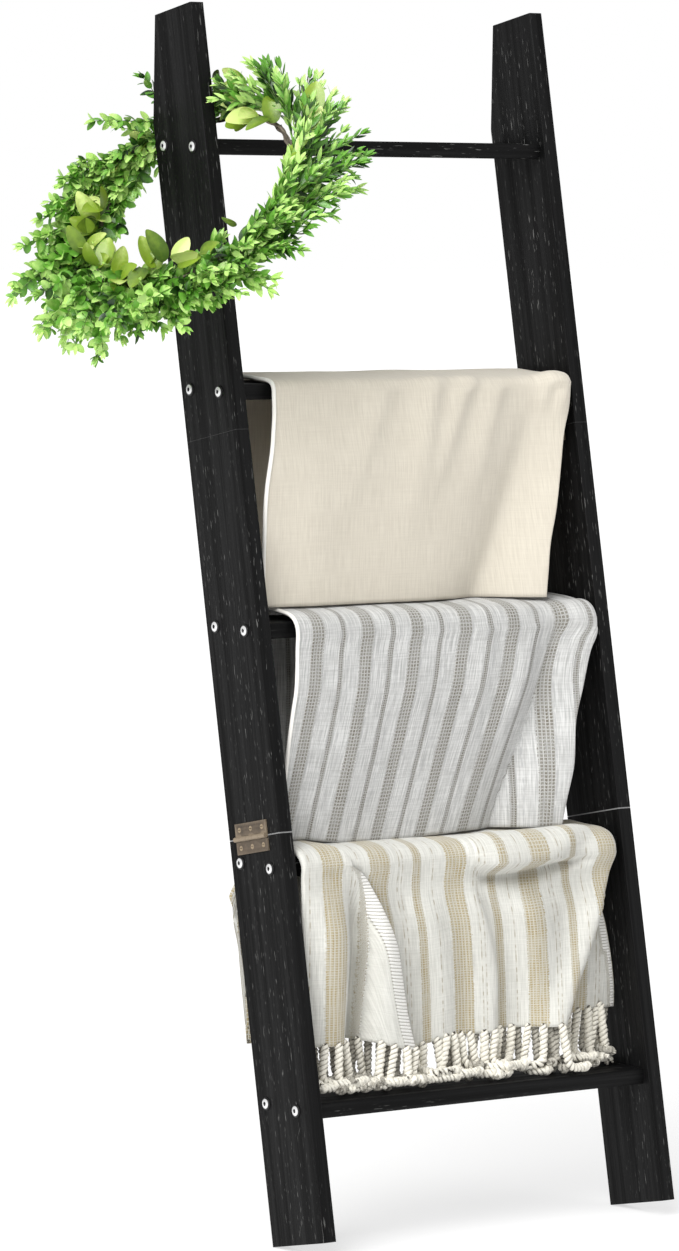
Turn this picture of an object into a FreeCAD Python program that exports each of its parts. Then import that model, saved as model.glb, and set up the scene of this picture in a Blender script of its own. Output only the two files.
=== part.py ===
import FreeCAD, Part
import math
import os

import Sketcher
from FreeCAD import Placement, Rotation, Vector

# A leaning blanket ladder with three throws over its rungs and a wreath round its left rail.
# +X is to the right, +Y towards the wall, +Z up. The origin is on the floor, midway between the two
# rear lower edges of the rails, which carry the ladder. Millimetres and degrees throughout.
# Along a rail, "along" runs up the rail from its foot and "back" runs from the rail's rear edge
# (0) towards its front edge (negative), so a leaned sub-part is drawn upright and then tilted.

DIMENSIONS = {
    "lean": 12.0,
    "rail_length": 1524.0,
    "rail_depth": 106.0,
    "rail_thick": 20.0,
    "outer_width": 552.0,
    "plumb_start": 1388.0,
    "lower_seam": 498.0,
    "upper_seam": 993.0,
    "seam_gap": 0.3,
    "rail_round": 1.6,
    "rung_depth": 94.0,
    "rung_thick": 19.5,
    "rung_round": 2.0,
    "rung_setback": 49.5,
    "rung_one": 1355.0,
    "rung_two": 1050.0,
    "rung_three": 755.0,
    "rung_four": 463.0,
    "rung_five": 168.0,
    "bolt_spacing": 60.0,
    "bolt_dia": 6.0,
    "bolt_hole_dia": 6.6,
    "bolt_reach": 44.0,
    "head_dia": 16.0,
    "head_height": 3.6,
    "head_rim": 1.0,
    "socket_flats": 5.0,
    "socket_deep": 2.4,
    "insert_dia": 10.0,
    "insert_bore": 6.1,
    "insert_length": 22.0,
    "insert_hole_dia": 10.1,
    "insert_hole_deep": 30.0,
    "insert_sunk": 0.5,
    "hinge_width": 65.0,
    "leaf_height": 19.0,
    "leaf_thick": 1.8,
    "knuckle_dia": 6.4,
    "knuckle_gap": 0.3,
    "pin_dia": 3.0,
    "pin_hole_dia": 3.1,
    "screw_head_dia": 6.4,
    "screw_dia": 3.2,
    "screw_length": 13.0,
    "screw_blunt": 1.0,
    "screw_inset": 9.0,
    "sink_clearance": 0.1,
    "slot_deep": 0.7,
    "slot_wide": 0.9,
    "slot_length": 4.5,
    "pilot_dia": 3.3,
    "throw_thick": 5.0,
    "throw_gap": 0.6,
    "throw_cream_left": -238.0,
    "throw_cream_right": 245.0,
    "throw_cream_front": 264.0,
    "throw_cream_rear": 300.0,
    "throw_striped_left": -244.0,
    "throw_striped_right": 243.0,
    "throw_striped_front": 262.0,
    "throw_striped_rear": 285.0,
    "throw_fringed_left": -245.0,
    "throw_fringed_right": 246.0,
    "throw_fringed_front": 222.0,
    "throw_fringed_rear": 265.0,
    "fringe_depth": 48.0,
    "fringe_height": 50.0,
    "wreath_x": -289.0,
    "wreath_y": 182.0,
    "wreath_z": 1270.0,
    "wreath_tilt": 49.0,
    "wreath_turn": 190.0,
    "hoop_radius": 138.0,
    "hoop_rod": 3.5,
    "sprig_radius": 34.0,
    "top_sprig_radius": 24.0,
}

RUNGS = ("one", "two", "three", "four", "five")
KNUCKLES = 5

# Each throw and the rung it hangs over. On the sheet: the x of its two side edges, and how far its
# front and rear panels drop below the rung's middle.
THROWS = (("throw_cream", "two"), ("throw_striped", "three"), ("throw_fringed", "four"))

# Node, half thickness, and the middle line of the sprigs round the hoop.
FOLIAGE = (
    ("foliage_left", "sprig_radius",
     ((-345, 290, 1300), (-400, 280, 1270), (-465, 240, 1210), (-475, 170, 1145), (-440, 110, 1125))),
    ("foliage_front", "sprig_radius",
     ((-385, 62, 1142), (-340, 36, 1170), (-295, 14, 1200), (-236, 0, 1258), (-200, 22, 1320))),
    ("foliage_top", "top_sprig_radius",
     ((-186, 95, 1392), (-180, 130, 1402), (-177, 196, 1402), (-176, 262, 1396))),
)

doc = FreeCAD.newDocument("blanket_ladder")
sheet = doc.addObject("Spreadsheet::Sheet", "Sizes")
for row, (alias, value) in enumerate(DIMENSIONS.items(), start=1):
    sheet.set(f"A{row}", alias)
    sheet.set(f"B{row}", str(value))
    sheet.setAlias(f"B{row}", alias)
doc.recompute()

made = []  # the sub-parts to export, in the order they are built


def size(alias):
    """A driving dimension, read back from the sheet."""
    return float(getattr(sheet, alias))


LEAN = Rotation(Vector(-1, 0, 0), size("lean"))


def keep(sub_part, label):
    """Names a finished sub-part and puts it on the export list."""
    sub_part.Label = label
    made.append(sub_part)
    return sub_part


def bind(obj, **expressions):
    """Binds properties to the sheet. A double underscore in a name stands for a dot."""
    for name, expression in expressions.items():
        obj.setExpression(name.replace("__", "."), expression)


def side_plane(body):
    """The body's own YZ plane, in which a rail or a rung shows its side."""
    return next(f for f in body.Origin.OriginFeatures if f.Role == "YZ_Plane")


def side_sketch(body, name, offset="0"):
    """A sketch in the body's YZ plane, moved out along X by the offset expression."""
    sketch = body.newObject("Sketcher::SketchObject", name)
    sketch.AttachmentSupport = [(side_plane(body), "")]
    sketch.MapMode = "FlatFace"
    bind(sketch, AttachmentOffset__Base__z=offset)
    return sketch


def polygon(sketch, points):
    """A closed outline through the points."""
    for start, end in zip(points, points[1:] + points[:1]):
        sketch.addGeometry(Part.LineSegment(Vector(*start, 0), Vector(*end, 0)), False)


def circles(sketch, centres, diameter):
    """Equal circles, their diameter bound to the sheet."""
    for centre in centres:
        circle = Part.Circle(Vector(*centre, 0), Vector(0, 0, 1), size(diameter) / 2)
        index = sketch.addGeometry(circle, False)
        constraint = sketch.addConstraint(Sketcher.Constraint("Diameter", index, size(diameter)))
        sketch.setExpression(f"Constraints[{constraint}]", f"Sizes.{diameter}")


def pad(body, sketch, length, midplane=False):
    feature = body.newObject("PartDesign::Pad", sketch.Name + "_pad")
    feature.Profile = sketch
    feature.Midplane = midplane
    bind(feature, Length=length)
    return feature


def pocket(body, sketch, length, towards_plus_x):
    """A pocket of a stated depth that runs from its sketch along +X or along -X."""
    feature = body.newObject("PartDesign::Pocket", sketch.Name + "_cut")
    feature.Profile = sketch
    feature.Reversed = towards_plus_x
    bind(feature, Length=length)
    return feature


def round_long_edges(body, direction, radius, shortest):
    """Fillets the body's straight edges that run along a direction and are at least that long."""
    doc.recompute()
    base = body.Tip
    names = []
    for number, edge in enumerate(base.Shape.Edges, start=1):
        if edge.Curve.TypeId == "Part::GeomLine" and edge.Length > shortest:
            if abs(edge.tangentAt(edge.FirstParameter).dot(direction)) > 0.999:
                names.append(f"Edge{number}")
    fillet = body.newObject("PartDesign::Fillet", body.Name + "_round")
    fillet.Base = (base, names)
    bind(fillet, Radius=radius)
    return fillet


def leaned(x, back, along):
    """A point given across, back and along the leaned rails, in the upright frame of the part."""
    return LEAN.multVec(Vector(x, back, along))


def rung_back():
    """How far in front of the rails' rear edge the middle of a rung lies."""
    return -size("rung_setback")


def bolt_backs():
    return [rung_back() + sign * size("bolt_spacing") / 2 for sign in (-1, 1)]


def bolt_along(rung_name, back):
    """A rung is level, so its two bolts lie on a level line across the leaned rail."""
    return size("rung_" + rung_name) + (back - rung_back()) * math.tan(math.radians(size("lean")))


def screw_backs():
    step = size("hinge_width") / 2 - size("screw_inset")
    return [rung_back() + k * step for k in (-1, 0, 1)]


# --- rails ------------------------------------------------------------------------------------------

def rail_outline(low, high, plumb):
    """The side of a rail section, with the wall cut where the section reaches the top."""
    depth = size("rail_depth")
    if not plumb:
        return [(-depth, low), (0, low), (0, high), (-depth, high)]
    start = size("plumb_start")
    cut = (high - start) * math.tan(math.radians(size("lean")))
    return [(-depth, low), (0, low), (0, start), (-cut, high), (-depth, high)]


def rail_section(side, name, low, high, rungs, plumb=False, outer_seam=None, inner_seam=None):
    """One length of rail, with its bolt holes and the pilot holes for the hinge leaves on it."""
    body = doc.addObject("PartDesign::Body", f"{side}_rail_{name}")
    outline = side_sketch(body, body.Name + "_side")
    polygon(outline, rail_outline(low, high, plumb))
    pad(body, outline, "Sizes.rail_thick")
    round_long_edges(body, Vector(0, 0, 1), "Sizes.rail_round", size("rail_thick") * 2)
    holes = [(back, bolt_along(rung, back)) for rung in rungs for back in bolt_backs()]
    bolt_holes = side_sketch(body, body.Name + "_bolts")
    circles(bolt_holes, holes, "bolt_hole_dia")
    pocket(body, bolt_holes, "Sizes.rail_thick", towards_plus_x=True)
    outer_at_zero = side == "left"
    for seam, on_outer in ((outer_seam, True), (inner_seam, False)):
        if seam is None:
            continue
        along = seam + (1 if seam <= low + size("seam_gap") else -1) * screw_row()
        at_zero = on_outer == outer_at_zero
        pilots = side_sketch(body, f"{body.Name}_pilots_{'outer' if on_outer else 'inner'}",
                             "0" if at_zero else "Sizes.rail_thick")
        circles(pilots, [(back, along) for back in screw_backs()], "pilot_dia")
        pocket(body, pilots, "Sizes.screw_length", towards_plus_x=at_zero)
    left = -size("outer_width") / 2 if side == "left" else size("outer_width") / 2 - size("rail_thick")
    body.Placement = Placement(Vector(left, 0, 0), LEAN)
    return keep(body, body.Name)


def screw_row():
    """Distance from a seam to the row of screws in the hinge leaf beside it."""
    return (size("leaf_height") + size("knuckle_dia") / 2) / 2


def rails():
    half_gap = size("seam_gap") / 2
    lower, upper = size("lower_seam"), size("upper_seam")
    for side in ("left", "right"):
        rail_section(side, "lower", 0, lower - half_gap, ("five", "four"), outer_seam=lower)
        rail_section(side, "middle", lower + half_gap, upper - half_gap, ("three",),
                     outer_seam=lower, inner_seam=upper)
        rail_section(side, "upper", upper + half_gap, size("rail_length"), ("two", "one"),
                     plumb=True, inner_seam=upper)


# --- rungs ------------------------------------------------------------------------------------------

def rung(number, name):
    """A level board between the rails, bored at each end for two threaded inserts."""
    body = doc.addObject("PartDesign::Body", f"rung_{number}")
    half_depth, half_thick = size("rung_depth") / 2, size("rung_thick") / 2
    outline = side_sketch(body, body.Name + "_end")
    polygon(outline, [(-half_depth, -half_thick), (half_depth, -half_thick),
                      (half_depth, half_thick), (-half_depth, half_thick)])
    pad(body, outline, "Sizes.outer_width - 2 * Sizes.rail_thick", midplane=True)
    round_long_edges(body, Vector(1, 0, 0), "Sizes.rung_round", size("outer_width") / 2)
    half = "(Sizes.outer_width / 2 - Sizes.rail_thick)"
    centres = [((back - rung_back()) / math.cos(math.radians(size("lean"))), 0) for back in bolt_backs()]
    for end, offset, inward in (("left", "-" + half, True), ("right", half, False)):
        bores = side_sketch(body, f"{body.Name}_{end}_bores", offset)
        circles(bores, centres, "insert_hole_dia")
        pocket(body, bores, "Sizes.insert_hole_deep", towards_plus_x=inward)
    body.Placement = Placement(leaned(0, rung_back(), size("rung_" + name)), Rotation())
    return keep(body, body.Name)


# --- fasteners --------------------------------------------------------------------------------------

def bolt_master():
    """One bolt along -X from its seat at the origin: domed head, hex socket and plain shank."""
    body = doc.addObject("PartDesign::Body", "bolt_master")
    sketch = body.newObject("Sketcher::SketchObject", "bolt_profile")
    plane = next(f for f in body.Origin.OriginFeatures if f.Role == "XY_Plane")
    sketch.AttachmentSupport = [(plane, "")]
    sketch.MapMode = "FlatFace"
    head, rim, height = size("head_dia") / 2, size("head_rim"), size("head_height")
    shank, reach = size("bolt_dia") / 2, size("bolt_reach")
    ball = (head ** 2 + (height - rim) ** 2) / (2 * (height - rim))
    half_way = math.asin(head / ball) / 2
    shoulder = Vector(height - ball * (1 - math.cos(half_way)), ball * math.sin(half_way), 0)
    sketch.addGeometry(Part.Arc(Vector(rim, head, 0), shoulder, Vector(height, 0, 0)), False)
    chain = [(height, 0), (-reach, 0), (-reach, shank), (0, shank), (0, head), (rim, head)]
    for start, end in zip(chain, chain[1:]):
        sketch.addGeometry(Part.LineSegment(Vector(*start, 0), Vector(*end, 0)), False)
    turned = body.newObject("PartDesign::Revolution", "bolt_turned")
    turned.Profile = sketch
    turned.ReferenceAxis = (sketch, ["H_Axis"])
    turned.Angle = 360
    socket = side_sketch(body, "bolt_socket", "Sizes.head_height")
    corner = size("socket_flats") / math.sqrt(3)
    turns = [k * math.pi / 3 for k in range(6)]
    polygon(socket, [(corner * math.cos(turn), corner * math.sin(turn)) for turn in turns])
    pocket(body, socket, "Sizes.socket_deep", towards_plus_x=False)
    return body


def insert_master():
    """One threaded insert, a plain tube along +X from the origin."""
    tube = doc.addObject("Part::Cylinder", "insert_outside")
    bore = doc.addObject("Part::Cylinder", "insert_inside")
    bind(tube, Radius="Sizes.insert_dia / 2", Height="Sizes.insert_length")
    bind(bore, Radius="Sizes.insert_bore / 2", Height="Sizes.insert_length")
    for cylinder in (tube, bore):
        cylinder.Placement = Placement(Vector(), Rotation(Vector(0, 1, 0), 90))
    cut = doc.addObject("Part::Cut", "insert_master")
    cut.Base, cut.Tool = tube, bore
    return cut


def screw_master():
    """One countersunk wood screw along -X, its flat head's top at the origin."""
    head = doc.addObject("Part::Cone", "screw_head")
    shank = doc.addObject("Part::Cylinder", "screw_shank")
    bind(head, Radius1="Sizes.screw_head_dia / 2", Radius2="Sizes.screw_dia / 2", Height="Sizes.leaf_thick")
    bind(shank, Radius="Sizes.screw_dia / 2", Height="Sizes.screw_length - Sizes.screw_blunt")
    for turned in (head, shank):
        turned.Placement = Placement(Vector(), Rotation(Vector(0, 1, 0), -90))
    screw = doc.addObject("Part::Fuse", "screw_whole")
    screw.Base, screw.Tool = head, shank
    slot = doc.addObject("Part::Box", "screw_slot")
    bind(slot, Length="Sizes.slot_deep", Width="Sizes.slot_length", Height="Sizes.slot_wide")
    corner = Vector(-size("slot_deep"), -size("slot_length") / 2, -size("slot_wide") / 2)
    slot.Placement = Placement(corner, Rotation())
    cut = doc.addObject("Part::Cut", "screw_master")
    cut.Base, cut.Tool = screw, slot
    return cut


def group(label, master, placements):
    """One node of separate, equal solids."""
    doc.recompute()
    feature = doc.addObject("Part::Feature", label)
    solids = []
    for placement in placements:
        solid = master.Shape.copy()
        solid.Placement = placement.multiply(master.Shape.Placement)
        solids.append(solid)
    feature.Shape = Part.makeCompound(solids)
    return keep(feature, label)


def outward(side, on_outer=True):
    """The turn that makes a fastener drawn along -X point into a rail's outer or inner face."""
    to_plus_x = (side == "right") == on_outer
    turn = Rotation() if to_plus_x else Rotation(Vector(0, 0, 1), 180)
    return LEAN.multiply(turn)


def rail_face(side, on_outer=True):
    """X of a rail's outer or inner face."""
    x = size("outer_width") / 2 - (0 if on_outer else size("rail_thick"))
    return x if side == "right" else -x


def fasteners():
    bolt, insert = bolt_master(), insert_master()
    for side in ("left", "right"):
        sign = -1 if side == "left" else 1
        bolts, inserts = [], []
        for rung_name in RUNGS:
            for back in bolt_backs():
                seat = leaned(rail_face(side), back, bolt_along(rung_name, back))
                bolts.append(Placement(seat, outward(side)))
                inner = seat + Vector(-sign * (size("rail_thick") + size("insert_sunk")), 0, 0)
                turn = Rotation() if side == "left" else Rotation(Vector(0, 0, 1), 180)
                inserts.append(Placement(inner, turn))
        group(f"{side}_rung_bolts", bolt, bolts)
        group(f"{side}_rung_inserts", insert, inserts)


# --- hinges -----------------------------------------------------------------------------------------

def hinge_leaf(label, above, seat):
    """A leaf drawn on the YZ plane with its back at X=0: plate, its share of the knuckles, screw holes."""
    width, half = size("hinge_width"), size("knuckle_dia") / 2
    gap = size("knuckle_gap")
    up = 1 if above else -1
    web_height = half + 2 * gap  # from the pin's axis to a little way into the plate
    plate = doc.addObject("Part::Box", label + "_plate")
    bind(plate, Length="Sizes.leaf_thick", Width="Sizes.hinge_width",
         Height="Sizes.leaf_height - Sizes.knuckle_dia / 2 - Sizes.knuckle_gap")
    low = half + gap if above else -size("leaf_height")
    plate.Placement = Placement(Vector(0, -width / 2, low), Rotation())
    pieces = [plate]
    share = width / KNUCKLES
    for k in range(0 if above else 1, KNUCKLES, 2):
        barrel = doc.addObject("Part::Cylinder", f"{label}_knuckle_{k}")
        bind(barrel, Radius="Sizes.knuckle_dia / 2",
             Height=f"Sizes.hinge_width / {KNUCKLES} - Sizes.knuckle_gap")
        start = -width / 2 + k * share + gap / 2
        barrel.Placement = Placement(Vector(half, start, 0), Rotation(Vector(1, 0, 0), -90))
        web = doc.addObject("Part::Box", f"{label}_web_{k}")
        bind(web, Length="Sizes.leaf_thick",
             Width=f"Sizes.hinge_width / {KNUCKLES} - Sizes.knuckle_gap",
             Height="Sizes.knuckle_dia / 2 + 2 * Sizes.knuckle_gap")
        web.Placement = Placement(Vector(0, start, 0 if above else -web_height), Rotation())
        pieces += [barrel, web]
    whole = doc.addObject("Part::MultiFuse", label + "_whole")
    whole.Shapes = pieces
    bore = doc.addObject("Part::Cylinder", label + "_bore")
    bind(bore, Radius="Sizes.pin_hole_dia / 2", Height="Sizes.hinge_width")
    bore.Placement = Placement(Vector(half, -width / 2, 0), Rotation(Vector(1, 0, 0), -90))
    cuts = [bore]
    for k, back in enumerate(screw_backs()):
        sink = doc.addObject("Part::Cone", f"{label}_sink_{k}")
        bind(sink, Radius1="Sizes.screw_head_dia / 2 + Sizes.sink_clearance",
             Radius2="Sizes.screw_dia / 2 + Sizes.sink_clearance", Height="Sizes.leaf_thick")
        centre = Vector(size("leaf_thick"), back - rung_back(), up * screw_row())
        sink.Placement = Placement(centre, Rotation(Vector(0, 1, 0), -90))
        cuts.append(sink)
    tools = doc.addObject("Part::MultiFuse", label + "_holes")
    tools.Shapes = cuts
    leaf = doc.addObject("Part::Cut", label)
    leaf.Base, leaf.Tool = whole, tools
    leaf.Placement = seat
    return keep(leaf, label)


def hinge(side, on_outer, seam, name):
    """A butt hinge over one seam of one rail: two leaves, the pin and six screws."""
    turn = outward(side, on_outer)
    seat = Placement(leaned(rail_face(side, on_outer), rung_back(), seam), turn)
    hinge_leaf(f"{name}_upper_leaf", True, seat)
    hinge_leaf(f"{name}_lower_leaf", False, seat)
    pin = doc.addObject("Part::Cylinder", f"{name}_pin")
    bind(pin, Radius="Sizes.pin_dia / 2", Height="Sizes.hinge_width")
    pin_end = Vector(size("knuckle_dia") / 2, -size("hinge_width") / 2, 0)
    pin.Placement = seat.multiply(Placement(pin_end, Rotation(Vector(1, 0, 0), -90)))
    keep(pin, f"{name}_pin")
    places = []
    for up in (-1, 1):
        for back in screw_backs():
            screw = Vector(size("leaf_thick"), back - rung_back(), up * screw_row())
            places.append(seat.multiply(Placement(screw, Rotation())))
    group(f"{name}_screws", doc.getObject("screw_master"), places)


def hinges():
    screw_master()
    for side in ("left", "right"):
        hinge(side, True, size("lower_seam"), f"{side}_lower_hinge")
        hinge(side, False, size("upper_seam"), f"{side}_upper_hinge")


# --- soft goods -------------------------------------------------------------------------------------

def throw(label, rung_name):
    """A folded throw over a rung: one thick sheet, down the front, over the top and down the rear."""
    front_drop, rear_drop = size(label + "_front"), size(label + "_rear")
    inside = size("rung_depth") / 2 + size("throw_gap")
    top = size("rung_thick") / 2 + size("throw_gap")
    thick = size("throw_thick")
    body = doc.addObject("PartDesign::Body", label)
    outline = side_sketch(body, label + "_side")
    polygon(outline, [(-inside - thick, -front_drop), (-inside, -front_drop), (-inside, top), (inside, top),
                      (inside, -rear_drop), (inside + thick, -rear_drop),
                      (inside + thick, top + thick), (-inside - thick, top + thick)])
    pad(body, outline, f"Sizes.{label}_right - Sizes.{label}_left")
    middle = leaned(0, rung_back(), size("rung_" + rung_name))
    body.Placement = Placement(Vector(size(label + "_left"), middle.y, middle.z), Rotation())
    return keep(body, label)


def fringe(label, rung_name):
    """The tassels under the front hem of a throw, as the plain block they fill."""
    middle = leaned(0, rung_back(), size("rung_" + rung_name))
    block = doc.addObject("Part::Box", "throw_fringe")
    bind(block, Length=f"Sizes.{label}_right - Sizes.{label}_left",
         Width="Sizes.fringe_depth", Height="Sizes.fringe_height")
    front = middle.y - size("rung_depth") / 2 - size("throw_gap") - size("fringe_depth")
    low = middle.z - size(label + "_front") - size("fringe_height") - size("throw_gap")
    block.Placement = Placement(Vector(size(label + "_left"), front, low), Rotation())
    return keep(block, "throw_fringe")


# --- wreath -----------------------------------------------------------------------------------------

def wreath_turn():
    """Turns the hoop's own axis from +Z to its tilted direction."""
    about_z = Rotation(Vector(0, 0, 1), size("wreath_turn"))
    return about_z.multiply(Rotation(Vector(0, 1, 0), size("wreath_tilt")))


def sausage(label, radius, points):
    """A closed bent tube with round ends and round corners: a ball at each point, a cylinder between."""
    pieces = []
    for number, point in enumerate(points):
        ball = doc.addObject("Part::Sphere", f"{label}_ball_{number}")
        bind(ball, Radius=f"Sizes.{radius}")
        ball.Placement = Placement(Vector(*point), Rotation())
        pieces.append(ball)
    for number, (start, end) in enumerate(zip(points, points[1:])):
        run = Vector(*end) - Vector(*start)
        tube = doc.addObject("Part::Cylinder", f"{label}_tube_{number}")
        bind(tube, Radius=f"Sizes.{radius}")
        tube.Height = run.Length
        tube.Placement = Placement(Vector(*start), Rotation(Vector(0, 0, 1), run))
        pieces.append(tube)
    whole = doc.addObject("Part::MultiFuse", label)
    whole.Shapes = pieces
    return keep(whole, label)


def wreath():
    """A twig hoop and, as plain bent tubes, the room that its sprigs take."""
    hoop = doc.addObject("Part::Torus", "wreath_hoop")
    bind(hoop, Radius1="Sizes.hoop_radius", Radius2="Sizes.hoop_rod")
    centre = Vector(size("wreath_x"), size("wreath_y"), size("wreath_z"))
    hoop.Placement = Placement(centre, wreath_turn())
    keep(hoop, "wreath_hoop")
    for label, radius, points in FOLIAGE:
        sausage(label, radius, points)


# --- build, check, write ----------------------------------------------------------------------------

rails()
for number, rung_name in enumerate(RUNGS, start=1):
    rung(number, rung_name)
fasteners()
hinges()
for label, rung_name in THROWS:
    throw(label, rung_name)
fringe(*THROWS[-1])
wreath()
doc.recompute()

for obj in doc.Objects:
    failed = [state for state in obj.State if state in ("Invalid", "Error")]
    if failed:
        raise RuntimeError(f"{obj.Label} is {failed}")
for sub_part in made:
    if sub_part.Shape.isNull() or not sub_part.Shape.isValid():
        raise RuntimeError(f"{sub_part.Label} has no valid shape")

os.makedirs("parts", exist_ok=True)
for sub_part in made:
    sub_part.Shape.exportStep(f"parts/{sub_part.Label}.step")
    bounds = sub_part.Shape.BoundBox
    print(f"{sub_part.Label}: {len(sub_part.Shape.Solids)} solids, volume {sub_part.Shape.Volume:.0f},"
          f" x {bounds.XMin:.1f} {bounds.XMax:.1f}, y {bounds.YMin:.1f} {bounds.YMax:.1f},"
          f" z {bounds.ZMin:.1f} {bounds.ZMax:.1f}")
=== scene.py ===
import math
import random

import bpy
import numpy as np
from mathutils import Matrix, Vector, noise


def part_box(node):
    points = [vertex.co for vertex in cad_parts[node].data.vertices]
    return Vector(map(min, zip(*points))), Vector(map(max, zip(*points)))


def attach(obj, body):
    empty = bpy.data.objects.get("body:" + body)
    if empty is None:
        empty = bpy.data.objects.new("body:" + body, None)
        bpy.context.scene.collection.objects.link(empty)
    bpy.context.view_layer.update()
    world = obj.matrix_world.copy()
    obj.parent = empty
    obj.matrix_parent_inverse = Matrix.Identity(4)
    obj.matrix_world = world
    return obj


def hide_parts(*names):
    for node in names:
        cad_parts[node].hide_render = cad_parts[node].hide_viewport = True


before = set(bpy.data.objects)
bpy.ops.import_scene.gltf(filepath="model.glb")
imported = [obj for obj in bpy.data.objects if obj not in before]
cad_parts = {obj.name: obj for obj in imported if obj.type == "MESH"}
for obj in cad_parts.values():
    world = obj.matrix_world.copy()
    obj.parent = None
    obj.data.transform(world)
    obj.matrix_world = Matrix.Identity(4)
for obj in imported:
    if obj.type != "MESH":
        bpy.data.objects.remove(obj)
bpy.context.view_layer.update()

MM = 0.001
LEAN = math.radians(12.0)


# --- small helpers --------------------------------------------------------------------------------

def through(*knots):
    """A smooth function of t through (t, value) knots, level past its ends."""
    ts = np.array([k[0] for k in knots], float)
    values = np.array([k[1] for k in knots], float)
    slopes = np.gradient(values, ts)

    def at(t):
        t = np.clip(np.asarray(t, float), ts[0], ts[-1])
        i = np.clip(np.searchsorted(ts, t) - 1, 0, len(ts) - 2)
        span = ts[i + 1] - ts[i]
        f = (t - ts[i]) / span
        rise = values[i + 1] - values[i]
        start = values[i] + f * f * (3 - 2 * f) * rise
        return start + span * f * (1 - f) * ((1 - f) * slopes[i] - f * slopes[i + 1])
    return at


def unit(vectors):
    """A vector, or each row of an array of them, at length one."""
    return vectors / np.maximum(np.linalg.norm(vectors, axis=-1, keepdims=True), 1e-9)


def peak(t, centre, width):
    """One where t is at a centre, fading away on both sides of it."""
    return math.exp(-((t - centre) / width) ** 2)


def node_points(name):
    """The points of a CAD node, in metres."""
    return np.array([v.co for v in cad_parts[name].data.vertices], float)


def link(name, data):
    """Puts a mesh, a light or a camera into the scene."""
    made = bpy.data.objects.new(name, data)
    bpy.context.scene.collection.objects.link(made)
    return made


def bump_noise(a, b, scale, seed):
    """Smooth noise over two arrays of equal shape, about -1 to 1."""
    flat = [noise.noise(Vector((x * scale, y * scale, seed))) for x, y in zip(a.ravel(), b.ravel())]
    return np.array(flat).reshape(a.shape)


def mesh_object(name, points, faces, material, uvs=None, smooth=True):
    """A mesh piece from arrays. uvs has one pair per point."""
    mesh = bpy.data.meshes.new(name)
    mesh.from_pydata([tuple(p) for p in points], [], [tuple(int(i) for i in f) for f in faces])
    if uvs is not None:
        layer = mesh.uv_layers.new(name="cloth")
        corners = np.zeros(len(mesh.loops), np.int32)
        mesh.loops.foreach_get("vertex_index", corners)
        layer.data.foreach_set("uv", np.asarray(uvs, np.float32)[corners].ravel())
    mesh.polygons.foreach_set("use_smooth", [smooth] * len(mesh.polygons))
    mesh.materials.append(material)
    mesh.update()
    return link(name, mesh)


def grid_faces(rows, columns, start=0, wrap=False):
    """Quads of a rows x columns grid of points. wrap joins the last column to the first."""
    faces = []
    for r in range(rows - 1):
        for c in range(columns if wrap else columns - 1):
            right = (c + 1) % columns
            low, high = start + r * columns, start + (r + 1) * columns
            faces.append((low + c, low + right, high + right, high + c))
    return faces


def tube(path, radii, sides, squash=1.0):
    """Points and faces of a closed tube along a path, its radius given at each point."""
    path = np.asarray(path, float)
    ahead = unit(np.gradient(path, axis=0))
    side = np.cross(ahead[0], (0.3, 0.2, 1.0))
    points = []
    for p, a, r in zip(path, ahead, radii):
        side = unit(side - a * side.dot(a))
        up = np.cross(a, side)
        for k in range(sides):
            turn = 2 * math.pi * k / sides
            points.append(p + r * (math.cos(turn) * side + squash * math.sin(turn) * up))
    faces = grid_faces(len(path), sides, wrap=True)
    last = (len(path) - 1) * sides
    faces.append(tuple(reversed(range(sides))))
    faces.append(tuple(last + k for k in range(sides)))
    return np.array(points), faces


class Parts:
    """Gathers many small shapes into one mesh."""

    def __init__(self):
        self.points, self.faces, self.shades, self.count = [], [], [], 0

    def add(self, points, faces, shade):
        self.points.append(np.asarray(points, float))
        self.faces += [tuple(self.count + i for i in f) for f in faces]
        self.shades.append(np.full(len(points), shade))
        self.count += len(points)

    def tube(self, path, radii, sides, shade):
        self.add(*tube(path, radii, sides), shade)

    def piece(self, name, material):
        made = mesh_object(name, np.concatenate(self.points), self.faces, material)
        tone = made.data.attributes.new("tone", "FLOAT", "POINT")
        tone.data.foreach_set("value", np.concatenate(self.shades).astype(np.float32))
        return made


# --- materials ------------------------------------------------------------------------------------

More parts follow.
